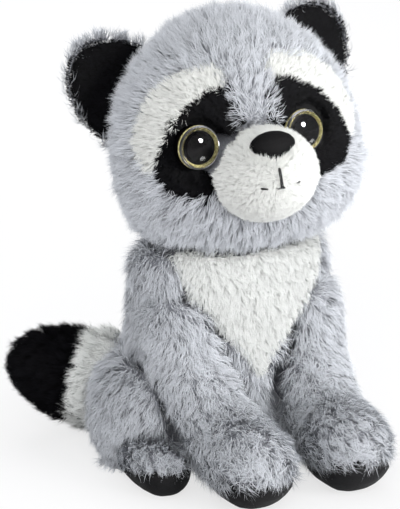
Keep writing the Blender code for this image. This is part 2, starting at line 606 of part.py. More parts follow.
def body_pieces(head_grown):
    """Torso, bib, legs, haunches, feet, soles and tail, each trimmed where it meets the one before."""
    g = SEAM_GAP
    floor = add_cutter("floor_block", half_space("floor_block", lambda y: 0.0, below=True))
    stations = torso_stations()
    torso = add_object("torso", loft("torso", stations, CAP_TORSO, rings=16, segments=28), GREY, 0.9)
    torso_grown = add_cutter("torso_grown", loft("torso_grown", stations, CAP_TORSO, g, rings=16,
                                                 segments=28))
    bib_top = add_cutter("bib_top", loft("bib_top", stations, CAP_TORSO, 0.0, rings=16, segments=28))
    bib_floor = add_cutter("bib_floor", loft("bib_floor", stations, CAP_TORSO, -PATCH_THICKNESS,
                                             rings=16, segments=28))
    bib_pocket_floor = add_cutter("bib_pocket_floor", loft("bib_pocket_floor", stations, CAP_TORSO,
                                                           -PATCH_THICKNESS - g, rings=16, segments=28))
    front, back = TORSO_MIDDLE_Y - 3 * TORSO_HALF_DEPTH, TORSO_MIDDLE_Y - TORSO_HALF_DEPTH / 6
    bib = add_object("chest_bib", prism("chest_bib", BIB_OUTLINE, front, back), WHITE, 0.85)
    pocket = add_cutter("bib_pocket", prism("bib_pocket", BIB_OUTLINE, front, back + g, g))
    cut(bib, bib_top, "INTERSECT")
    cut(bib, bib_floor)
    cut(pocket, bib_pocket_floor)
    cut(torso, pocket)
    cut(torso, head_grown)
    cut(bib, head_grown)
    cut(torso, floor)

    slope = (SOLE_TOE_HEIGHT - SOLE_HEEL_HEIGHT) / SOLE_SLOPE_LENGTH
    front_heel = FRONT_SOLE_HEEL - LEG_REACH
    haunches = []
    for name, side in SIDES:
        legs = leg_stations()
        leg = add_object(f"front_leg_{name}", mirrored(loft("leg", legs, CAP_LEG, rings=16, segments=20), side),
                         GREY, 0.9)
        leg_grown = add_cutter(f"leg_grown_{name}",
                               mirrored(loft("leg_grown", legs, CAP_LEG, g, rings=16, segments=20), side))
        cut(leg, torso_grown)
        cut(leg, head_grown)
        make_sole(f"front_sole_{name}", leg,
                  mirrored(loft("sole", legs, CAP_LEG, -SOLE_INSET, rings=16, segments=20), side),
                  lambda y: SOLE_HEEL_HEIGHT - slope * (y - front_heel), floor, front_heel)

        feet = foot_stations()
        foot = add_object(f"hind_foot_{name}",
                          mirrored(loft("foot", feet, CAP_FOOT, rings=10, segments=18), side), GREY, 0.9)
        foot_grown = add_cutter(f"foot_grown_{name}",
                                mirrored(loft("foot_grown", feet, CAP_FOOT, g, rings=10, segments=18), side))
        cut(foot, torso_grown)
        cut(foot, leg_grown)
        make_sole(f"hind_sole_{name}", foot,
                  mirrored(loft("sole", feet, CAP_FOOT, -SOLE_INSET, rings=10, segments=18), side),
                  lambda y: SOLE_HEEL_HEIGHT - slope * (y + HIND_SOLE_HEEL_Y), floor, HIND_SOLE_HEEL_Y,
                  (torso_grown, leg_grown))

        haunch = add_object(f"haunch_{name}", mirrored(ball("haunch", HAUNCH_CENTRE, HAUNCH_HALF_SIZES), side),
                            GREY, 0.9)
        for tool in (torso_grown, foot_grown, leg_grown, floor):
            cut(haunch, tool)
        haunches.append(add_cutter(f"haunch_grown_{name}",
                                   mirrored(ball("haunch_grown", HAUNCH_CENTRE, HAUNCH_HALF_SIZES, g), side)))

    tail = tail_stations()
    gap_share = g / math.dist(TAIL_ROOT, TAIL_POINT)
    spans = {"tail_root": (0.0, RING_START - gap_share / 2), "tail_ring": (RING_START + gap_share / 2,
             RING_END - gap_share / 2), "tail_tip": (RING_END + gap_share / 2, 1.0)}
    for name, span in spans.items():
        colour = {"tail_root": GREY, "tail_ring": WHITE, "tail_tip": BLACK}[name]
        rings = 5 if name == "tail_ring" else 9
        piece = add_object(name, loft(name, tail, CAP_TAIL, span=span, rings=rings, segments=20), colour, 0.9)
        if name != "tail_tip":
            for tool in (torso_grown, *haunches):
                cut(piece, tool)


def make_sole(name, limb, body, height_at, floor, heel, neighbours=()):
    """Velour sole: the slightly smaller limb under a sloping line, and the limb without it."""
    sole = add_object(name, body, BLACK, 0.7)
    above = add_cutter(name + "_above", half_space(name + "_above", height_at, below=False))
    behind = add_cutter(name + "_behind", block("behind", (-CUT_REACH, CUT_REACH), (heel, CUT_REACH),
                                                (-CUT_REACH, CUT_REACH)))
    cut(sole, above)
    cut(sole, behind)
    for tool in neighbours:
        cut(sole, tool)
    cut(sole, floor)
    room = add_cutter(name + "_room", half_space(name + "_room", lambda y: height_at(y) + SEAM_GAP, below=True,
                                                 y_high=heel + SEAM_GAP))
    cut(limb, room)
    cut(limb, floor)


body_pieces(head_pieces())
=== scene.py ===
"""Looks of the sitting plush raccoon: stuffed covers, long and short pile, safety eyes, nose and soles.

Frame: metres, +Z up, the raccoon looks along -Y and its left side is +X. Each stuffed sub-part gets a
cover, which is the sub-part's solid drawn in by the height of its pile and blown up as cloth, and a pile
of many thin blades of yarn that stand on that cover, lean along the nap and gather in tufts.
"""

import math

import bmesh
import bpy
import numpy as np
from mathutils import Matrix, Vector
from mathutils.bvhtree import BVHTree


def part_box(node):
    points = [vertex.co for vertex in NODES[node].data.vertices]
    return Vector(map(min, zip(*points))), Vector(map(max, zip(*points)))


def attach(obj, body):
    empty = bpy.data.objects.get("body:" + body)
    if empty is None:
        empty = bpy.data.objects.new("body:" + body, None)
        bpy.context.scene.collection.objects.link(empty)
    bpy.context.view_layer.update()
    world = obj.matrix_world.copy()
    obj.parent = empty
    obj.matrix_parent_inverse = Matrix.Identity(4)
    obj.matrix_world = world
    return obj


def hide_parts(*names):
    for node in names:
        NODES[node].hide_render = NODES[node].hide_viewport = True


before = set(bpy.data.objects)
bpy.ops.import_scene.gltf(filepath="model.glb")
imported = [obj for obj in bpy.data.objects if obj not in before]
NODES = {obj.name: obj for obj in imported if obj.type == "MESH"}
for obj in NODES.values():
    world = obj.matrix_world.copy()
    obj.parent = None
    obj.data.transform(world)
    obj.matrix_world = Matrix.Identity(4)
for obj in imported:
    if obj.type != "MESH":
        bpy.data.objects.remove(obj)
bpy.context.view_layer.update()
MM = 0.001

# Camera, from the photograph's 400 x 509 frame
PHOTO_HEIGHT = 509
PIXEL = 0.00052              # metres for each pixel at the head
CAMERA_AZIMUTH = -28.0
CAMERA_ELEVATION = 14.5
CAMERA_DISTANCE = 1.4
HEAD_HEIGHT = 0.1795         # of the middle of the head
HEAD_OFFSET = (-34.0, -126.5)   # pixels from the head's middle to the frame's, right and down
SENSOR_HEIGHT = 24.0

# Light: strength of the surroundings, and that of their mirror image; floor colours; soft lamps
AMBIENT = 0.70
REFLECTED = 0.10
SKY = (0.97, 0.98, 1.0, 1)
FLOOR = (0.85, 0.85, 0.86, 1)
FLOOR_REFLECTED = (0.30, 0.30, 0.31, 1)
FLOOR_GLOW = 0.72            # share of plain white in the floor that the camera sees
LAMPS = (                    # name, place, size, power
    ("key_lamp", (-1.0, -1.7, 1.2), 1.2, 22.0),
    ("fill_lamp", (1.3, -1.7, 0.5), 1.4, 46.0),
    ("back_lamp", (0.4, 1.6, 1.4), 1.0, 14.0),
)
EYE_LAMP = ("eye_lamp", (0.22, -0.88, 0.56), 0.24, 30.0)
LAMP_AIM = Vector((0, 0, 0.12))

# Covers and pile
SIDES = ("left", "right")
SHARE = 1.0      # share of the blades that a trial run makes
SOFTNESS = 0.80              # share of the cover's normal in a blade's shading
TUFT = 4.2 * MM              # mean distance between tufts of the long pile
SHORT_TUFT = 2.4 * MM
BLADE = 0.13 * MM            # half of a blade's width
STRIP = 0.012                # half of a blade's width on its map
ROOT_DEPTH = 0.3 * MM        # a blade's root lies this far under its cover
LUMP_SIZE = 17 * MM
DRIFT_SIZE = 22 * MM         # size of the slow turns of the nap
FLOOR_CLEARANCE = 0.4 * MM
MERGE = 0.01 * MM            # points of a solid nearer than this are one point
SEAM_REACH = 0.6 * MM        # a face this near to another solid is a seam
SEAM_OVERLAP = 1.3 * MM      # a cover's rim reaches this far past its seam
PILE_SLACK = 1.8 * MM        # a cover's triangle this much too low still carries pile
EDGE_REACH = 6 * MM          # a bare triangle this near to the open shell is the cover's edge
MASK_EDGE = 5 * MM           # width of the black edge beside the masks

# Eyes
EYE_RIM = 12.5 * MM          # distance from the eye's middle at which pile starts
EYE_SINK = 2.4 * MM          # the mask's cover sinks by this much at the eye's rim
EYE_PROUD = 2.5 * MM         # the eyes stand forward by this much, so that the pile clears their rings
EYE_AHEAD = Vector((0.05, -1.0, 0.05))
EYE_OWN_WAY = 0.15           # share of the iris node's axis in the way an eye looks; the rest is EYE_AHEAD
EYE_SHIFT = {"left": (-4.4 * MM, 0.0, -1.6 * MM), "right": (-3.0 * MM, 0.0, 0.0)}   # as the photo shows them
EYE_SHARE = 0.96             # of the iris node's radius
PUPIL_SHARE = 0.70           # of the gold ring's radius
EYE_SEAT = 5 * MM            # depth of the black seat behind the ring


def tree_of(names):
    """Search tree of the named solids."""
    points, faces = [], []
    for name in names:
        start = len(points)
        points.extend(v.co.copy() for v in NODES[name].data.vertices)
        faces.extend(tuple(start + i for i in p.vertices) for p in NODES[name].data.polygons)
    return BVHTree.FromPolygons(points, faces)


def centre_of(node):
    """Middle of a node's box."""
    low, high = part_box(node)
    return np.array((low + high) / 2)


def unit(vectors):
    """Vectors divided by their lengths."""
    return vectors / np.maximum(np.linalg.norm(vectors, axis=-1, keepdims=True), 1e-9)


def smoothstep(low, high, x):
    """0 at low, 1 at high, and three t squared less two t cubed between them."""
    t = np.clip((x - low) / (high - low), 0.0, 1.0)
    return t * t * (3 - 2 * t)


def scatter_value(cells, seed):
    """Repeatable random numbers from 0 to 1, three for each whole-number cell."""
    mix = cells @ np.array([12.9898, 78.233, 37.719]) + seed * 7.31
    return np.stack([(np.sin(mix * k) * 43758.5453) % 1.0 for k in (1.0, 1.713, 2.391)], axis=-1)


def soft_noise(points, size, seed):
    """Smooth random numbers from -1 to 1, three for each point: corner values of cubes of one size,
    blended inside each cube by a smooth step along its three edges."""
    cell = np.floor(points / size)
    inside = points / size - cell
    inside = inside * inside * (3 - 2 * inside)
    total = np.zeros_like(points)
    for corner in np.ndindex(2, 2, 2):
        corner = np.array(corner)
        weight = np.prod(np.where(corner == 1, inside, 1 - inside), axis=1)
        total += weight[:, None] * scatter_value(cell + corner, seed)
    return total * 2 - 1


def nearest_tuft(points, size, seed):
    """Middle and random numbers of the tuft each point belongs to: space is cut into cubes of one size,
    each with one tuft at a random place, and a point joins the nearest among the 27 cubes around it."""
    cell = np.floor(points / size)
    best = np.full(len(points), np.inf)
    middle = np.zeros_like(points)
    fate = np.zeros_like(points)
    for step in np.ndindex(3, 3, 3):
        other = cell + np.array(step) - 1
        place = (other + scatter_value(other, seed)) * size
        distance = np.sum((points - place) ** 2, axis=1)
        closer = distance < best
        best = np.where(closer, distance, best)
        middle[closer] = place[closer]
        fate[closer] = scatter_value(other[closer], seed + 5)
    return middle, fate


def linked_groups(elements, next_to):
    """Lists of elements that hang together, where next_to gives an element's neighbours."""
    left = dict.fromkeys(elements)
    groups = []
    while left:
        group, front = [], [left.popitem()[0]]
        while front:
            one = front.pop()
            group.append(one)
            for other in next_to(one):
                if other in left:
                    del left[other]
                    front.append(other)
        groups.append(group)
    return groups


def near_eye(points):
    """Distance from each point to the nearer eye's middle."""
    return np.linalg.norm(points[:, None] - EYES[None], axis=2).min(axis=1)


def open_shell(node):
    """A node's solid without the faces that lie against a neighbour, as one sheet of merged points."""
    others = tree_of([n for n in NODES if n != node])
    shell = bmesh.new()
    shell.from_mesh(NODES[node].data)
    bmesh.ops.remove_doubles(shell, verts=shell.verts, dist=MERGE)
    seams = [f for f in shell.faces if others.find_nearest(f.calc_center_median())[3] < SEAM_REACH]
    bmesh.ops.delete(shell, geom=seams, context="FACES")
    islands = linked_groups(shell.faces, lambda face: [f for e in face.edges for f in e.link_faces])
    small = [f for island in sorted(islands, key=len)[:-1] for f in island]
    bmesh.ops.delete(shell, geom=small, context="FACES")
    bmesh.ops.delete(shell, geom=[v for v in shell.verts if not v.link_faces], context="VERTS")
    shell.normal_update()
    return shell


def drawn_in(shell, height_at, wall, overlap):
    """Closed mesh of an open shell, drawn in by the height of its pile.

    Every point moves inwards along its normal by the height of the pile there, and a point of an open
    rim also moves outwards along the surface by overlap, so that neighbours overlap. Each open rim
    gets a wall that goes on inwards, and a fan of triangles from the wall's foot to the foot's middle.
    """
    points = np.array([v.co[:] for v in shell.verts])
    normals = {v: v.normal.copy() for v in shell.verts}
    outwards = {}
    for vert, to_eye in zip(shell.verts, near_eye(points)):
        inner = [e.other_vert(vert) for e in vert.link_edges if not e.other_vert(vert).is_boundary]
        if vert.is_boundary and inner and to_eye > EYE_RIM + 2 * MM:
            way = vert.co - sum((v.co for v in inner), Vector()) / len(inner)
            way -= normals[vert] * way.dot(normals[vert])
            outwards[vert] = way.normalized() * overlap
    for vert, height in zip(shell.verts, height_at(points)):
        vert.co += outwards.get(vert, Vector()) - normals[vert] * height
    rims = [e for e in shell.edges if e.is_boundary]
    for rim in linked_groups(rims, lambda edge: [e for v in edge.verts for e in v.link_edges]):
        foot = {v: shell.verts.new(v.co - normals[v] * wall)
                for v in dict.fromkeys(v for e in rim for v in e.verts)}
        hub = shell.verts.new(sum((v.co for v in foot.values()), Vector()) / len(foot))
        for edge in rim:
            a, b = edge.verts
            shell.faces.new((a, b, foot[b], foot[a]))
            shell.faces.new((foot[a], foot[b], hub))
    bmesh.ops.recalc_face_normals(shell, faces=shell.faces)
    mesh = bpy.data.meshes.new("cover")
    shell.to_mesh(mesh)
    return mesh


def coordinates(mesh, what="co"):
    """The points of a mesh, or their normals, as an array."""
    values = np.zeros(len(mesh.vertices) * 3, np.float32)
    mesh.vertices.foreach_get(what, values)
    return values.reshape(-1, 3).astype(float)


def placed(mesh, points):
    """Writes an array of points back to a mesh."""
    mesh.vertices.foreach_set("co", points.astype(np.float32).ravel())


def link(name, mesh):
    """New object in the scene."""
    piece = bpy.data.objects.new(name, mesh)
    bpy.context.scene.collection.objects.link(piece)
    return piece


def evaluated_mesh(piece):
    """Mesh of a piece with its modifiers applied."""
    graph = bpy.context.evaluated_depsgraph_get()
    return bpy.data.meshes.new_from_object(piece.evaluated_get(graph))


def remeshed(piece, voxel, rounds):
    """Even quads by voxel remesh, then smoothed."""
    step = piece.modifiers.new("even", "REMESH")
    step.mode = "VOXEL"
    step.voxel_size = voxel
    step = piece.modifiers.new("soft", "SMOOTH")
    step.factor = 0.5
    step.iterations = rounds
    piece.data = evaluated_mesh(piece)
    piece.modifiers.clear()


def stuffed(piece, pressure=4.0, cap=2.0 * MM, frames=16):
    """Cloth blown up by its stuffing with gravity off; no point moves further than cap."""
    rest = coordinates(piece.data)
    cloth = piece.modifiers.new("stuffing", "CLOTH")
    cloth.settings.use_pressure = True
    cloth.settings.uniform_pressure_force = pressure
    cloth.settings.effector_weights.gravity = 0.0
    cloth.settings.quality = 4
    cloth.settings.tension_stiffness = 12.0
    cloth.settings.compression_stiffness = 12.0
    cloth.settings.bending_stiffness = 0.6
    cloth.point_cache.frame_end = frames
    for number in range(1, frames + 1):
        bpy.context.scene.frame_set(number)
    blown = coordinates(evaluated_mesh(piece))
    piece.modifiers.remove(cloth)
    bpy.context.scene.frame_set(1)
    move = blown - rest
    far = np.linalg.norm(move, axis=1, keepdims=True)
    move *= np.minimum(1.0, cap / np.maximum(far, 1e-9))
    placed(piece.data, rest + move)
    piece.data.update()


def whole_drawn_in(node, height_at):
    """A node's whole solid, of which only the points on its open faces are drawn in."""
    shell = open_shell(node)
    open_points = BVHTree.FromBMesh(shell)
    shell.free()
    solid = bmesh.new()
    solid.from_mesh(NODES[node].data)
    bmesh.ops.remove_doubles(solid, verts=solid.verts, dist=MERGE)
    solid.normal_update()
    heights = height_at(np.array([v.co[:] for v in solid.verts]))
    moves = [v.normal * h if open_points.find_nearest(v.co)[3] < MERGE else Vector()
             for v, h in zip(solid.verts, heights)]
    for vert, move in zip(solid.verts, moves):
        vert.co -= move
    mesh = bpy.data.meshes.new("cover")
    solid.to_mesh(mesh)
    solid.free()
    return mesh


def dressed(piece, material, node=None):
    """Gives a piece its material and its body, and hides the node that it stands for."""
    piece.data.materials.clear()
    piece.data.materials.append(material)
    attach(piece, "root")
    if node:
        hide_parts(node)


def cover(name, node, height_at, colours, voxel=3.5 * MM, wall=5 * MM, fill=0.7, lumps=0.8 * MM, seed=1,
          overlap=SEAM_OVERLAP):
    """Stuffed cover of one node, with its triangles that carry pile and those of its bare edge.

    The node's open shell is drawn in, remeshed evenly, made a little lumpy as by its stuffing, and
    blown up. A triangle carries pile where the open shell lies over it and faces the same way. Without
    a wall the whole solid is drawn in, so that a pocket in it stays open.
    """
    cloth, _, slot = colours
    shell = open_shell(node)
    outside = BVHTree.FromBMesh(shell)
    mesh = drawn_in(shell, height_at, wall, overlap) if wall else whole_drawn_in(node, height_at)
    piece = link(name, mesh)
    shell.free()
    remeshed(piece, voxel, 4)
    points = coordinates(piece.data)
    bulge = soft_noise(points, LUMP_SIZE, seed)[:, :1]
    points = points + coordinates(piece.data, "normal") * bulge * lumps
    points[:, 2] = np.maximum(points[:, 2], FLOOR_CLEARANCE)
    placed(piece.data, points)
    if fill:
        stuffed(piece)
    piece.data.shade_smooth()
    dressed(piece, cloth, node)

    mesh = piece.data
    mesh.calc_loop_triangles()
    corners = np.zeros(len(mesh.loop_triangles) * 3, np.int32)
    mesh.loop_triangles.foreach_get("vertices", corners)
    corners = corners.reshape(-1, 3)
    points = coordinates(mesh)
    normals = coordinates(mesh, "normal")
    middles = points[corners].mean(axis=1)
    facing = unit(normals[corners].mean(axis=1))
    heights = height_at(middles)
    keep, edge = [], []
    for middle, face, height in zip(middles, facing, heights):
        _, normal, _, far = outside.find_nearest(Vector(middle + face * height))
        keep.append(far < 0.3 * height + PILE_SLACK and normal.dot(Vector(face)) > 0.25)
        edge.append(not keep[-1] and far < height + EDGE_REACH)
    kept, bare = corners[np.array(keep)], corners[np.array(edge)]
    return (points[kept], normals[kept]), (points[bare], normals[bare])


def scattered(triangles, normals, density, rng):
    """Random points on triangles, so many for each square millimetre, with their normals."""
    one, other = triangles[:, 1] - triangles[:, 0], triangles[:, 2] - triangles[:, 0]
    area = np.linalg.norm(np.cross(one, other), axis=1) / 2
    count = int(area.sum() / MM**2 * density * SHARE)
    pick = rng.choice(len(triangles), count, p=area / area.sum())
    a, b = rng.random(count), rng.random(count)
    flip = a + b > 1
    a, b = np.where(flip, 1 - a, a), np.where(flip, 1 - b, b)
    weights = np.stack([1 - a - b, a, b], axis=1)[:, :, None]
    return (triangles[pick] * weights).sum(axis=1), unit((normals[pick] * weights).sum(axis=1))


def yarn_mesh(name, lines, aside, half_width, tone, outwards):
    """Thin blades, each through a root, a middle and a tip point, with the middle as wide as half_width
    says and the root a little narrower. Map: across the blade a narrow strip at tone, along it root to
    tip. The shading normal leans from the blade's own towards the cover's, as light spreads in pile."""
    root, middle, tip = lines
    count = len(root)
    low = aside * (half_width * 0.75)[:, None]
    wide = aside * half_width[:, None]
    points = np.stack([root - low, root + low, middle - wide, middle + wide, tip], axis=1)
    first = np.arange(count)[:, None] * 5
    faces = np.stack([first + (0, 2, 1), first + (1, 2, 3), first + (2, 4, 3)], axis=1)
    spread = np.array([[-1, 0], [1, 0], [-1, 0.5], [1, 0.5], [0, 1]]) * (STRIP, 1.0)
    place = np.stack([tone, np.zeros(count)], axis=1)[:, None, :] + spread[None]
    corners = np.array([0, 2, 1, 1, 2, 3, 2, 4, 3])
    mesh = bpy.data.meshes.new(name)
    mesh.vertices.add(count * 5)
    mesh.vertices.foreach_set("co", points.astype(np.float32).ravel())
    mesh.loops.add(count * 9)
    mesh.loops.foreach_set("vertex_index", faces.astype(np.int32).ravel())
    mesh.polygons.add(count * 3)
    mesh.polygons.foreach_set("loop_start", np.arange(0, count * 9, 3, dtype=np.int32))
    mesh.polygons.foreach_set("loop_total", np.full(count * 3, 3, np.int32))
    mesh.update(calc_edges=True)
    layer = mesh.uv_layers.new(name="OFBake")
    layer.data.foreach_set("uv", place[:, corners].astype(np.float32).ravel())
    mesh.shade_smooth()
    lower = unit(np.cross(middle - root, aside))
    upper = unit(np.cross(tip - middle, aside))
    own = np.stack([lower, lower, lower + upper, lower + upper, upper], axis=1)
    soft = unit(unit(own) * (1 - SOFTNESS) + outwards[:, None, :] * SOFTNESS)
    mesh.normals_split_custom_set_from_vertices(soft.reshape(-1, 3).astype(np.float32))
    return mesh


def pile(name, base, nap, material, slot, density, length_at, half_width=BLADE, tuft=TUFT, gather=0.6,
         rise=58.0, lean=18.0, stray=0.28, seed=1):
    """Pile of yarn on the open triangles of a cover.

    Each blade starts on the cover, rises at the angle rise over it, and bends halfway to the angle lean,
    along the nap's direction. Blades of one tuft share a small turn of the nap, a length and a tone, and
    their tips gather towards the tuft's middle. Spreads of angle, in degrees, and of length and tone are
    judged to be those of real yarn pile.
    """
    rng = np.random.default_rng(seed)
    root, normal = scattered(*base, density, rng)
    count = len(root)
    middle, fate = nearest_tuft(root, tuft, seed)
    drift = soft_noise(root, DRIFT_SIZE, seed + 3)
    along = unit(nap(root)) + drift * 0.35 + (fate - 0.5) * 0.8 + rng.normal(0.0, stray, root.shape)
    along = unit(along - normal * np.sum(along * normal, axis=1)[:, None])
    length = length_at(root) * (0.88 + 0.24 * fate[:, 1]) * rng.uniform(0.8, 1.12, count)
    up = np.radians(rise + rng.normal(0, 9, count) + (fate[:, 0] - 0.5) * 16)
    over = np.radians(lean + rng.normal(0, 9, count) + (fate[:, 0] - 0.5) * 22)
    half = (length / 2)[:, None]
    first = normal * np.sin(up)[:, None] + along * np.cos(up)[:, None]
    second = normal * np.sin(over)[:, None] + along * np.cos(over)[:, None]
    towards = middle - root
    towards -= normal * np.sum(towards * normal, axis=1)[:, None]
    knee = root + first * half + towards * gather * 0.45
    tip = knee + second * half + towards * gather * 0.5
    root = root - normal * ROOT_DEPTH
    aside = unit(np.cross(normal, tip - root))
    roll = np.radians(rng.uniform(-40, 40, count))[:, None]
    over_blade = unit(np.cross(tip - root, aside))
    aside = aside * np.cos(roll) + over_blade * np.sin(roll)
    for row in (root, knee, tip):
        row[:, 2] = np.maximum(row[:, 2], FLOOR_CLEARANCE)
    tone = np.clip(0.5 + (fate[:, 2] - 0.5) * 0.5 + rng.normal(0, 0.13, count), 0.02, 0.98)
    width = half_width * rng.uniform(0.7, 1.3, count)
    piece = link(name, yarn_mesh(name, (root, knee, tip), aside, width, tone, normal))
    dressed(piece, material)


# Materials


def new_material(name):
    """Material with its tree and its shader."""
    material = bpy.data.materials.new(name)
    material.use_nodes = True
    return material, material.node_tree, material.node_tree.nodes["Principled BSDF"]


def linear(*colour):
    """Linear colour of an sRGB one in steps of 1/255."""
    c = np.array(colour) / 255
    return tuple(np.where(c <= 0.04045, c / 12.92, ((c + 0.055) / 1.055) ** 2.4))


def coloured_by(tree, source, stops):
    """Ramp that turns a value into a colour, from (place, colour) stops: first, last, and one between."""
    ramp = tree.nodes.new("ShaderNodeValToRGB")
    for element, (place, colour) in zip(ramp.color_ramp.elements, stops):
        element.color = (*linear(*colour), 1.0)
        element.position = place
    for place, colour in stops[2:]:
        ramp.color_ramp.elements.new(place).color = (*linear(*colour), 1.0)
    tree.links.new(source, ramp.inputs["Fac"])
    return ramp.outputs["Color"]


def fine_noise(tree, size, detail, roughness=0.5):
    """Noise over the piece's own coordinates."""
    place = tree.nodes.new("ShaderNodeTexCoord")
    noise = tree.nodes.new("ShaderNodeTexNoise")
    noise.inputs["Scale"].default_value = size
    noise.inputs["Detail"].default_value = detail
    noise.inputs["Roughness"].default_value = roughness
    tree.links.new(place.outputs["Object"], noise.inputs["Vector"])
    return noise.outputs["Fac"]


def calculated(tree, operation, first, second):
    """Sum, product and the like of two values, each a socket or a number."""
    node = tree.nodes.new("ShaderNodeMath")
    node.operation = operation
    for socket, value in zip(node.inputs, (first, second)):
        if isinstance(value, float):
            socket.default_value = value
        else:
            tree.links.new(value, socket)
    return node.outputs[0]


def pile_material(name, root, middle, tip, spread=0.25, roughness=0.8, sheen=0.12):
    """Yarn whose colour runs from root to tip, darker at the root as painted shade deep in the pile, and
    whose brightness varies from blade to blade.
    """
    material, tree, shader = new_material(name)
    place = tree.nodes.new("ShaderNodeUVMap")
    place.uv_map = "OFBake"
    split = tree.nodes.new("ShaderNodeSeparateXYZ")
    tree.links.new(place.outputs["UV"], split.inputs[0])
    colour = coloured_by(tree, split.outputs["Y"], ((0.1, root), (1.0, tip), (0.5, middle)))
    value = tree.nodes.new("ShaderNodeMapRange")
    value.inputs["To Min"].default_value = 1.0 - spread
    value.inputs["To Max"].default_value = 1.0 + spread
    tree.links.new(split.outputs["X"], value.inputs["Value"])
    shade = tree.nodes.new("ShaderNodeHueSaturation")
    tree.links.new(colour, shade.inputs["Color"])
    tree.links.new(value.outputs["Result"], shade.inputs["Value"])
    tree.links.new(shade.outputs["Color"], shader.inputs["Base Color"])
    shader.inputs["Roughness"].default_value = roughness
    shader.inputs["Specular IOR Level"].default_value = 0.12
    shader.inputs["Sheen Weight"].default_value = sheen
    shader.inputs["Sheen Roughness"].default_value = 0.5
    return material


def cloth_material(name, dark, pale, size=900.0, roughness=0.9, bump=0.3, sheen=0.2, shine=0.2):
    """Backing cloth or velour: two close tones in fine noise, with the noise as its nap."""
    material, tree, shader = new_material(name)
    noise = fine_noise(tree, size, 3.0)
    tree.links.new(coloured_by(tree, noise, ((0.3, dark), (0.7, pale))), shader.inputs["Base Color"])
    nap = tree.nodes.new("ShaderNodeBump")
    nap.inputs["Strength"].default_value = bump
    nap.inputs["Distance"].default_value = 0.4 * MM
    tree.links.new(noise, nap.inputs["Height"])
    tree.links.new(nap.outputs["Normal"], shader.inputs["Normal"])
    shader.inputs["Roughness"].default_value = roughness
    shader.inputs["Specular IOR Level"].default_value = shine
    shader.inputs["Sheen Weight"].default_value = sheen
    return material


def glass_material(name):
    """Clear plastic."""
    material, _, shader = new_material(name)
    shader.inputs["Base Color"].default_value = (1, 1, 1, 1)
    shader.inputs["Roughness"].default_value = 0.02
    shader.inputs["IOR"].default_value = 1.4
    shader.inputs["Transmission Weight"].default_value = 1.0
    return material


def gold_material(name):
    """Gold leaf, mottled olive, brown and pale in small flecks."""
    material, tree, shader = new_material(name)
    flecks = ((0.36, (66, 52, 22)), (0.66, (252, 246, 204)), (0.5, (190, 178, 108)))
    colour = coloured_by(tree, fine_noise(tree, 900.0, 5.0, 0.8), flecks)
    tree.links.new(colour, shader.inputs["Base Color"])
    shader.inputs["Roughness"].default_value = 0.5
    return material


# Colours are sRGB in steps of 1/255, as measured: root, middle and tip of a yarn, or dark and pale cloth
# The darker root of each yarn is painted shade deep in the pile; the tones from blade to blade differ at
# random.
GREY_PILE = pile_material("grey_long_pile", (160, 162, 168), (196, 199, 204), (218, 221, 226), 0.08)
WHITE_LONG = pile_material("white_long_pile", (206, 208, 206), (234, 236, 233), (246, 247, 245), 0.05)
BIB_PILE = pile_material("bib_pile", (198, 200, 198), (218, 220, 217), (230, 231, 229), 0.04)
WHITE_SHORT = pile_material("white_short_pile", (214, 215, 211), (228, 229, 225), (238, 239, 235), 0.03)
BLACK_PILE = pile_material("black_pile", (3, 3, 4), (8, 8, 10), (20, 20, 24), 0.3, 0.9, 0.0)
# The backing cloths are about as dark as the roots of their pile, which is painted shade at the foot of the
# pile.
GREY_CLOTH = cloth_material("grey_backing_cloth", (124, 126, 132), (150, 152, 158))
WHITE_CLOTH = cloth_material("white_backing_cloth", (196, 197, 195), (220, 220, 216))
BLACK_CLOTH = cloth_material("black_backing_cloth", (3, 3, 4), (10, 10, 12), sheen=0.0)
SOLE_VELOUR = cloth_material("black_sole_velour", (7, 7, 8), (18, 18, 21), 1400.0, 0.85, 0.5, 0.06)
NOSE_FABRIC = cloth_material("black_nose_fabric", (2, 2, 3), (8, 8, 10), 2200.0, 0.8, 0.5, 0.01, 0.12)
THREAD = cloth_material("black_thread", (10, 9, 10), (34, 32, 34), 3000.0, 0.6, 0.5, 0.1)
DOME_CLEAR = glass_material("clear_dome")
PUPIL_BLACK = cloth_material("pupil_black", (4, 3, 4), (9, 8, 10), 60.0, 1.0, 0.0, 0.0, 0.0)
GOLD_LEAF = gold_material("gold_leaf")
WASHER = cloth_material("washer_plastic", (205, 204, 198), (222, 221, 216), 400.0, 0.4, 0.05, 0.0)

# Backing cloth, pile and slot of each kind of plush
GREY = (GREY_CLOTH, GREY_PILE, "grey_plush")
WHITE = (WHITE_CLOTH, WHITE_LONG, "white_plush")
BIB = (WHITE_CLOTH, BIB_PILE, "white_plush")
BLACK = (BLACK_CLOTH, BLACK_PILE, "black_plush")
SHORT_WHITE = (WHITE_CLOTH, WHITE_SHORT, "white_pile")
SHORT_BLACK = (BLACK_CLOTH, BLACK_PILE, "black_pile")

# Directions of the nap, each a function of points

NOSE = centre_of("nose")
HEAD_MIDDLE = centre_of("head")
TAIL_START, TAIL_END = centre_of("tail_root"), centre_of("tail_tip")
EYES = np.array([centre_of(f"eye_iris_{side}") + EYE_SHIFT[side] for side in SIDES])
ACROSS = unit(EYES[0] - EYES[1])        # from the raccoon's right to its left
MOUTH = centre_of("mouth_stitch")
FORWARD = unit(NOSE - HEAD_MIDDLE)
MASKS = ("eye_mask_left", "eye_mask_right")


def away_from_nose(points):
    """Away from the nose, and a little down on the cheeks and the chin."""
    out = unit(points - NOSE)
    low = smoothstep(HEAD_MIDDLE[2] + 0.02, HEAD_MIDDLE[2] - 0.04, points[:, 2])
    return out + np.outer(low * 0.5, (0, 0, -1.0))


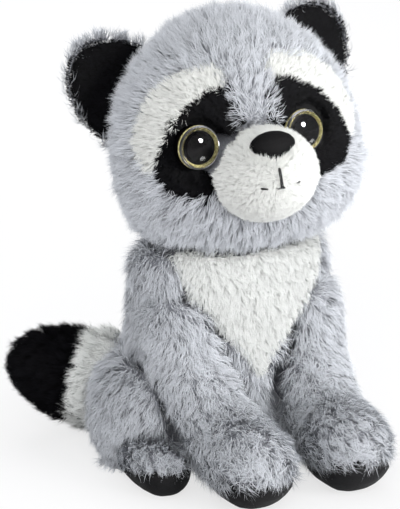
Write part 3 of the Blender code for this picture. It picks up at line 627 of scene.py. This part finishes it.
def around_eye(points):
    """Away from the nose, and near an eye away from that eye."""
    out = points[:, None] - EYES[None]
    far = np.linalg.norm(out, axis=2)
    nearest = out[np.arange(len(points)), far.argmin(axis=1)]
    close = smoothstep(EYE_RIM + 9 * MM, EYE_RIM + 1 * MM, far.min(axis=1))
    return unit(points - NOSE) + unit(nearest) * (2.5 * close)[:, None]


def downwards(points):
    """Down, and a little out from the upright through the torso."""
    out = unit(points - np.array([0.0, 0.008, 0.0]))
    return np.tile((0.0, 0.0, -1.0), (len(points), 1)) + out * (0.15, 0.15, 0.0)


def towards_paws(points):
    """Down the front leg, and forwards near the floor."""
    low = smoothstep(0.060, 0.020, points[:, 2])
    return np.stack([points[:, 0] * 2.0, -0.25 - 1.1 * low, -1.0 + 0.6 * low], axis=1)


def towards_toes(points):
    """Forwards, a little down, and out to the side."""
    return np.tile((0.0, -1.0, -0.3), (len(points), 1)) + points * (4.0, 0.0, 0.0)


def down_haunch(points):
    """Down, and out from the middle of the hips."""
    out = points - np.array([0.0, 0.020, 0.030])
    return unit(out) * 0.5 + np.array([0.0, 0.0, -1.0])


def along_tail(points):
    """From the tail's root to its tip."""
    return np.tile(unit(TAIL_END - TAIL_START), (len(points), 1))


def long_on_head(points):
    """Pile length on the head: short around the nose, full from the cheeks on."""
    far = np.linalg.norm(points - NOSE, axis=1)
    return (6.5 + 5.0 * smoothstep(0.035, 0.080, far)) * MM


def long_at_paw(points):
    """Pile length on the front legs, longer just over the soles."""
    return (10.0 + 3.0 * smoothstep(0.034, 0.014, points[:, 2])) * MM


def out_of_ear(side):
    """Out of the head, from the ear's foot to its tip."""
    way = unit(centre_of(f"ear_back_{side}") - HEAD_MIDDLE)
    return lambda points: np.tile(way, (len(points), 1))


def upwards(points):
    """Up, so that the pile of an ear's back stands over its top edge, and that under the nose over it."""
    return np.tile((0.0, 0.1, 1.0), (len(points), 1))


def short_at_eye(points):
    """Pile length on the masks, which grows from the eye's rim outwards."""
    return MM * (2.0 + 1.8 * smoothstep(EYE_RIM, EYE_RIM + 7 * MM, near_eye(points)))


def sunk_at_eye(points):
    """Height of the mask's pile over its cover, which sinks further towards the eye's rim."""
    return short_at_eye(points) * 0.45 + EYE_SINK * smoothstep(EYE_RIM + 6 * MM, EYE_RIM, near_eye(points))


def out_of_mouth(points):
    """Away from the mouth, so that the pile under the nose stands over its lower edge."""
    return points - MOUTH + FORWARD * 8 * MM


def even(length):
    """The same pile length everywhere."""
    return lambda points: np.full(len(points), length)


def height_of(length_at, share=0.52):
    """Height of a pile over its cover, from its length."""
    return lambda points: length_at(points) * share


def outward_face(node):
    """Mean direction in which a node's open faces look."""
    shell = open_shell(node)
    total = sum((f.normal * f.calc_area() for f in shell.faces), Vector())
    shell.free()
    return np.array(total.normalized())


def piled(node, nap, density, length_at, colours, seed, share=0.52, voxel=3.5 * MM, fill=0.7,
          wall=5 * MM, lumps=0.8 * MM, height_at=None, overlap=SEAM_OVERLAP, **looks):
    """Cover and pile of one sub-part, with density in blades for each square millimetre."""
    height_at = height_at or height_of(length_at, share)
    base, bare = cover(node + "_cover", node, height_at, colours, voxel, wall, fill, lumps, seed, overlap)
    pile(node + "_pile", base, nap, colours[1], colours[2], density, length_at, seed=seed, **looks)
    return base, bare


def chosen(base, wanted):
    """The wanted ones of some triangles and their normals."""
    wanted = np.array(wanted)
    return base[0][wanted], base[1][wanted]


def edge_pile(name, bare, seed):
    """Pile on the bare edge of the head's cover, black beside the masks and grey elsewhere."""
    masks = tree_of(MASKS)
    others = tree_of(["brow_patch_left", "brow_patch_right", "muzzle", "ear_back_left", "ear_back_right",
                      "torso"])
    middles = bare[0].mean(axis=1)
    to_mask = np.array([masks.find_nearest(Vector(m))[3] for m in middles])
    to_other = np.array([others.find_nearest(Vector(m))[3] for m in middles])
    black = (to_mask < MASK_EDGE) & (to_mask < to_other + 4 * MM) & (near_eye(middles) > EYE_RIM)
    for colour, wanted, (_, material, slot), length in (("black", black, SHORT_BLACK, 3.2 * MM),
                                                        ("grey", to_mask > MASK_EDGE, GREY, 4.5 * MM)):
        pile(f"{name}_{colour}", chosen(bare, wanted), around_eye, material, slot, 3.0, even(length),
             tuft=SHORT_TUFT, gather=0.3, seed=seed)


def blackened(piece):
    """Gives a cover black cloth on its faces close to the masks, where it shows beside them."""
    masks = tree_of(MASKS)
    piece.data.materials.append(BLACK_CLOTH)
    near = [masks.find_nearest(p.center)[3] < MASK_EDGE + 1 * MM for p in piece.data.polygons]
    piece.data.polygons.foreach_set("material_index", np.array(near, np.int32))


def nose_fringe(base, seed):
    """Short white pile around the lower edge of the nose, which stands up over that edge."""
    nose = tree_of(["nose"])
    low = [m[2] < NOSE[2] - 2 * MM and nose.find_nearest(Vector(m))[3] < 3.2 * MM
           for m in base[0].mean(axis=1)]
    pile("nose_fringe", chosen(base, low), upwards, WHITE_SHORT, "white_pile", 9.0, even(5.5 * MM),
         half_width=0.11 * MM, tuft=1.8 * MM, gather=0.3, rise=80.0, lean=66.0, seed=seed)


def ear(side, seed):
    """Ear: grey pile up its back, short black pile over its front and over the rim that looks forward."""
    back, front = f"ear_back_{side}", f"ear_front_{side}"
    looks_out = outward_face(front)
    base, _ = cover(back + "_cover", back, even(1.4 * MM), GREY, voxel=1.1 * MM, wall=0.0, fill=0.5,
                    lumps=0.0, seed=seed)
    facing = base[1].mean(axis=1)
    forward = (facing @ looks_out > 0.1) & ((facing[:, 2] < 0.4) | (facing @ looks_out > 0.75))
    pile(back + "_pile", chosen(base, ~forward), upwards, GREY_PILE, "grey_plush", 4.4, even(8.0 * MM),
         tuft=3.6 * MM, rise=50.0, lean=12.0, seed=seed)
    pile(back + "_rim", chosen(base, forward), out_of_ear(side), BLACK_PILE, "black_pile", 6.0,
         even(2.2 * MM), tuft=SHORT_TUFT, gather=0.3, seed=seed + 50)
    piled(front, out_of_ear(side), 4.6, even(3.2 * MM), SHORT_BLACK, seed + 2, share=0.4,
          voxel=1.5 * MM, fill=0.0, tuft=SHORT_TUFT, gather=0.3, wall=3 * MM)


def turned(name, profile, place, segments=64):
    """Surface of revolution: each (radius, height) point of the profile goes round the axis as radius times
    cosine and radius times sine of the angle, and the whole is carried to its place in the frame."""
    angle = np.linspace(0, 2 * np.pi, segments, endpoint=False)
    radius, height = np.array(profile, float).T
    ring = np.stack([np.outer(radius, np.cos(angle)), np.outer(radius, np.sin(angle)),
                     np.outer(height, np.ones(segments))], axis=2)
    points = ring.reshape(-1, 3) @ np.array(place.to_3x3()).T + np.array(place.translation)
    row, column = np.meshgrid(np.arange(len(profile) - 1), np.arange(segments), indexing="ij")
    here, there = row * segments + column, row * segments + (column + 1) % segments
    faces = np.stack([here, there, there + segments, here + segments], axis=2).reshape(-1, 4)
    mesh = bpy.data.meshes.new(name)
    mesh.from_pydata(points.tolist(), [], faces.tolist())
    shell = bmesh.new()
    shell.from_mesh(mesh)
    bmesh.ops.remove_doubles(shell, verts=shell.verts, dist=MERGE)
    bmesh.ops.recalc_face_normals(shell, faces=shell.faces)
    shell.to_mesh(mesh)
    shell.free()
    mesh.shade_smooth()
    return mesh


def cap(radius, low, high, steps=20):
    """Part of a circle from the rim (radius, low) up to the axis at high. Its own radius is the sum of the
    squares of the rim's radius and the rise, over twice the rise."""
    round_radius = (radius**2 + (high - low) ** 2) / (2 * (high - low))
    angle = np.linspace(math.asin(radius / round_radius), 0, steps)
    return [(round_radius * math.sin(a), high - round_radius * (1 - math.cos(a))) for a in angle]


def arc(radius, low, high, steps=16):
    """Quarter of an ellipse from the rim (radius, low) up to the axis at high."""
    angle = np.linspace(0, np.pi / 2, steps)
    points = [(radius * math.cos(a), low + (high - low) * math.sin(a)) for a in angle[:-1]]
    return points + [(0.0, high)]


def eye(side):
    """Safety eye: a gold ring that rises outwards around a black pupil, under a clear dome.

    The dome's apex is as high over the iris node's middle as that of the dome node.
    """
    iris = coordinates(NODES[f"eye_iris_{side}"].data)
    dome = coordinates(NODES[f"eye_dome_{side}"].data)
    middle = iris.mean(axis=0)
    axis = Vector(unit(dome.mean(axis=0) - middle))
    heights = (iris - middle) @ np.array(axis)
    radii = np.linalg.norm(iris - middle - np.outer(heights, axis), axis=1)
    top = heights.max()
    rise = ((dome - middle) @ np.array(axis)).max()
    outer = EYE_SHARE * radii.max()
    pupil = PUPIL_SHARE * outer
    disc, seat = pupil - 0.1 * MM, outer - 0.3 * MM
    axis = (axis * EYE_OWN_WAY + EYE_AHEAD * (1 - EYE_OWN_WAY)).normalized()
    place = axis.to_track_quat("Z", "Y").to_matrix().to_4x4()
    place.translation = Vector(middle) + Vector(EYE_SHIFT[side]) + axis * EYE_PROUD
    ring_profile = [(pupil, top - 0.3 * MM), (outer, top - 0.3 * MM), (outer, top + 1.2 * MM), (pupil, top),
                    (pupil, top - 0.3 * MM)]
    black_profile = [(0, -EYE_SEAT), (seat, -EYE_SEAT), (seat, top - 0.35 * MM), (disc, top - 0.35 * MM),
                     *arc(disc, top + 0.05 * MM, top + 0.35 * MM)]
    glass_profile = [(0, top + 0.6 * MM), (pupil, top + 0.3 * MM), (outer, top + 1.35 * MM),
                     *cap(outer, top + 1.5 * MM, rise)]
    for name, profile, material, slot, node in (
            ("eye_ring_", ring_profile, GOLD_LEAF, "eye_gold", "eye_iris_"),
            ("eye_black_", black_profile, PUPIL_BLACK, "eye_black", "eye_pupil_"),
            ("eye_glass_", glass_profile, DOME_CLEAR, "eye_clear", "eye_dome_")):
        dressed(link(name + side, turned(name + side, profile, place)), material, node + side)


def smooth_copy(name, node, material, voxel, rounds=5):
    """Finer, smooth copy of a node's solid."""
    piece = link(name, NODES[node].data.copy())
    shell = bmesh.new()
    shell.from_mesh(piece.data)
    bmesh.ops.remove_doubles(shell, verts=shell.verts, dist=MERGE)
    shell.to_mesh(piece.data)
    shell.free()
    remeshed(piece, voxel, rounds)
    piece.data.shade_smooth()
    dressed(piece, material, node)
    return piece


def nose_pad(piece):
    """Narrows the nose's lower half: by 0.45 times the 1.3rd power of the share of the way to its foot."""
    points = coordinates(piece.data)
    upright = unit(np.cross(FORWARD, ACROSS))
    upright *= np.sign(upright[2])
    middle = points.mean(axis=0)
    height = (points - middle) @ upright
    low = np.clip(-height / height.max(), 0.0, 1.0)
    sideways = (points - middle) @ ACROSS
    points -= ACROSS * (sideways * 0.45 * low**1.3)[:, None]
    placed(piece.data, points)


def mouth_thread(piece):
    """Lets the smile dive into the pile except at its ends, and thickens the upright stitch.

    The depth is 2.4 mm between 1.5 and 6.5 mm to the raccoon's right of the upright stitch, and between
    1.5 and 9 mm to its left, with smooth steps of 1 mm at both ends of each stretch. The upright stitch
    grows to 1.7 times its width, and to 2.5 times at its foot.
    """
    points = coordinates(piece.data)
    along = (points - MOUTH) @ ACROSS
    upright = points[np.argmax(points[:, 2])]
    along -= (upright - MOUTH) @ ACROSS
    hidden = smoothstep(-7 * MM, -6 * MM, along) * smoothstep(-1.0 * MM, -2.0 * MM, along)
    hidden += smoothstep(9.5 * MM, 8.5 * MM, along) * smoothstep(1.0 * MM, 2.0 * MM, along)
    points -= FORWARD * (2.4 * MM * hidden)[:, None]
    foot = points[np.abs(along) < 1 * MM, 2].min()
    near_foot = smoothstep(foot + 3 * MM, foot, points[:, 2])
    thick = smoothstep(1.2 * MM, 0.8 * MM, np.abs(along)) * (0.7 + 0.8 * near_foot)
    points += ACROSS * (along * thick)[:, None]
    placed(piece.data, points)


# The raccoon

_, head_edge = piled("head", away_from_nose, 2.05, long_on_head, GREY, 11)
edge_pile("head_edge", head_edge, 51)
blackened(bpy.data.objects["head_cover"])
piled("torso", downwards, 2.2, even(11.0 * MM), GREY, 12)
muzzle_looks = dict(tuft=2.2 * MM, gather=0.2, half_width=0.12 * MM, stray=0.14)
on_muzzle, muzzle_edge = piled("muzzle", out_of_mouth, 6.6, even(3.4 * MM), SHORT_WHITE, 14, share=0.45,
                               voxel=2.0 * MM, lumps=0.3 * MM, lean=26.0, overlap=2.6 * MM, **muzzle_looks)
pile("muzzle_edge", chosen(muzzle_edge, muzzle_edge[1].mean(axis=1) @ FORWARD > -0.45), out_of_mouth,
     WHITE_SHORT, "white_pile", 5.0, even(3.4 * MM), seed=17, **muzzle_looks)
nose_fringe(on_muzzle, 16)
piled("chest_bib", downwards, 5.0, even(5.5 * MM), BIB, 15, share=0.45, voxel=2.0 * MM, fill=0.0,
      tuft=2.8 * MM, gather=0.3, half_width=0.12 * MM)
for seed, side in enumerate(SIDES):
    piled(f"front_leg_{side}", towards_paws, 2.4, long_at_paw, GREY, 20 + seed)
    piled(f"haunch_{side}", down_haunch, 2.5, even(10.5 * MM), GREY, 22 + seed)
    piled(f"hind_foot_{side}", towards_toes, 2.8, even(8.0 * MM), GREY, 24 + seed, voxel=2.5 * MM)
    ear(side, 26 + seed)
    piled(f"eye_mask_{side}", around_eye, 5.5, short_at_eye, SHORT_BLACK, 30 + seed, voxel=1.4 * MM, fill=0.0,
          tuft=SHORT_TUFT, gather=0.3, wall=7 * MM, lumps=0.0, height_at=sunk_at_eye)
    piled(f"brow_patch_{side}", away_from_nose, 4.4, even(5.5 * MM), SHORT_WHITE, 32 + seed, share=0.5,
          voxel=1.4 * MM, fill=0.0, tuft=2.8 * MM, gather=0.4, lumps=0.0)
    eye(side)
    for limb in ("front", "hind"):
        smooth_copy(f"{limb}_pad_{side}", f"{limb}_sole_{side}", SOLE_VELOUR, 1.6 * MM)
    NODES[f"eye_washer_{side}"].data.materials.clear()
    NODES[f"eye_washer_{side}"].data.materials.append(WASHER)
piled("tail_root", along_tail, 2.2, even(9.5 * MM), GREY, 41)
piled("tail_ring", along_tail, 2.8, even(8.5 * MM), WHITE, 42)
piled("tail_tip", along_tail, 2.4, even(8.5 * MM), BLACK, 43, half_width=0.16 * MM)
nose_pad(smooth_copy("nose_pad", "nose", NOSE_FABRIC, 0.7 * MM))
mouth_thread(smooth_copy("mouth_thread", "mouth_stitch", THREAD, 0.2 * MM, 2))


# Camera, lights and floor


def photo_camera():
    """Camera at the photograph's angle, aimed so that the head's middle falls on its own pixel."""
    a, e = math.radians(CAMERA_AZIMUTH), math.radians(CAMERA_ELEVATION)
    back = Vector((math.sin(a) * math.cos(e), -math.cos(a) * math.cos(e), math.sin(e)))
    right = Vector((math.cos(a), math.sin(a), 0.0))
    up = back.cross(right)
    aim = Vector((0, 0, HEAD_HEIGHT)) + (right * HEAD_OFFSET[0] + up * HEAD_OFFSET[1]) * PIXEL
    camera = bpy.data.cameras.new("photo_camera")
    holder = link("photo_camera", camera)
    place = Matrix((right, up, back)).transposed().to_4x4()
    place.translation = aim + back * CAMERA_DISTANCE
    holder.matrix_world = place
    camera.sensor_fit = "VERTICAL"
    camera.sensor_height = SENSOR_HEIGHT
    camera.lens = SENSOR_HEIGHT * CAMERA_DISTANCE / (PHOTO_HEIGHT * PIXEL)
    bpy.context.scene.camera = holder


def lamp(name, place, size, power):
    """Square soft lamp that faces the raccoon."""
    data = bpy.data.lights.new(name, "AREA")
    data.size = size
    data.energy = power
    holder = link(name, data)
    holder.location = place
    holder.rotation_euler = (LAMP_AIM - Vector(place)).to_track_quat("-Z", "Y").to_euler()
    return holder


def mirrored(tree, path):
    """1 for a ray that a glossy or clear surface has sent on, and 0 for any other."""
    return calculated(tree, "MAXIMUM", path.outputs["Is Glossy Ray"], path.outputs["Is Transmission Ray"])


def mixed(tree, share, first, second, output):
    """Sends a mix of two shaders to an output node."""
    mix = tree.nodes.new("ShaderNodeMixShader")
    tree.links.new(share, mix.inputs["Fac"])
    tree.links.new(first, mix.inputs[1])
    tree.links.new(second, mix.inputs[2])
    tree.links.new(mix.outputs[0], tree.nodes[output].inputs["Surface"])


def surroundings():
    """White to the camera, even light to the plush, and dark in the eyes' domes, which would look grey
    otherwise. Light that has already left a plain surface isn't darkened, so the gold ring stays lit."""
    world = bpy.data.worlds.new("studio")
    bpy.context.scene.world = world
    world.use_nodes = True
    tree = world.node_tree
    background = tree.nodes["Background"]
    background.inputs["Color"].default_value = SKY
    seen = tree.nodes.new("ShaderNodeBackground")
    seen.inputs["Color"].default_value = (1, 1, 1, 1)
    path = tree.nodes.new("ShaderNodeLightPath")
    straight = calculated(tree, "LESS_THAN", path.outputs["Diffuse Depth"], 0.5)
    strength = tree.nodes.new("ShaderNodeMapRange")
    strength.inputs["To Min"].default_value = AMBIENT
    strength.inputs["To Max"].default_value = REFLECTED
    tree.links.new(calculated(tree, "MULTIPLY", mirrored(tree, path), straight), strength.inputs["Value"])
    tree.links.new(strength.outputs["Result"], background.inputs["Strength"])
    mixed(tree, path.outputs["Is Camera Ray"], background.outputs[0], seen.outputs[0], "World Output")


def pale_floor():
    """Floor that the camera sees almost white, and the eyes' domes darker."""
    material, tree, shader = new_material("pale_floor")
    shader.inputs["Roughness"].default_value = 0.9
    path = tree.nodes.new("ShaderNodeLightPath")
    shade = tree.nodes.new("ShaderNodeMix")
    shade.data_type = "RGBA"
    shade.inputs["A"].default_value = FLOOR
    shade.inputs["B"].default_value = FLOOR_REFLECTED
    tree.links.new(mirrored(tree, path), shade.inputs["Factor"])
    tree.links.new(shade.outputs["Result"], shader.inputs["Base Color"])
    glow = tree.nodes.new("ShaderNodeEmission")
    glow.inputs["Strength"].default_value = 1.0
    share = calculated(tree, "MULTIPLY", path.outputs["Is Camera Ray"], FLOOR_GLOW)
    mixed(tree, share, shader.outputs[0], glow.outputs[0], "Material Output")
    mesh = bpy.data.meshes.new("floor")
    mesh.from_pydata([(-8, -8, 0), (8, -8, 0), (8, 8, 0), (-8, 8, 0)], [], [(0, 1, 2, 3)])
    mesh.materials.append(material)
    link("floor", mesh)


def lamps():
    """Soft lamps that no dome mirrors, and a small round one that only the domes do."""
    for name, place, size, power in LAMPS:
        soft = lamp(name, place, size, power)
        soft.visible_glossy = soft.visible_transmission = False
    spot = lamp(*EYE_LAMP)
    spot.data.shape = "DISK"
    spot.visible_diffuse = False


photo_camera()
surroundings()
pale_floor()
lamps()
bpy.context.scene.view_settings.view_transform = "Standard"
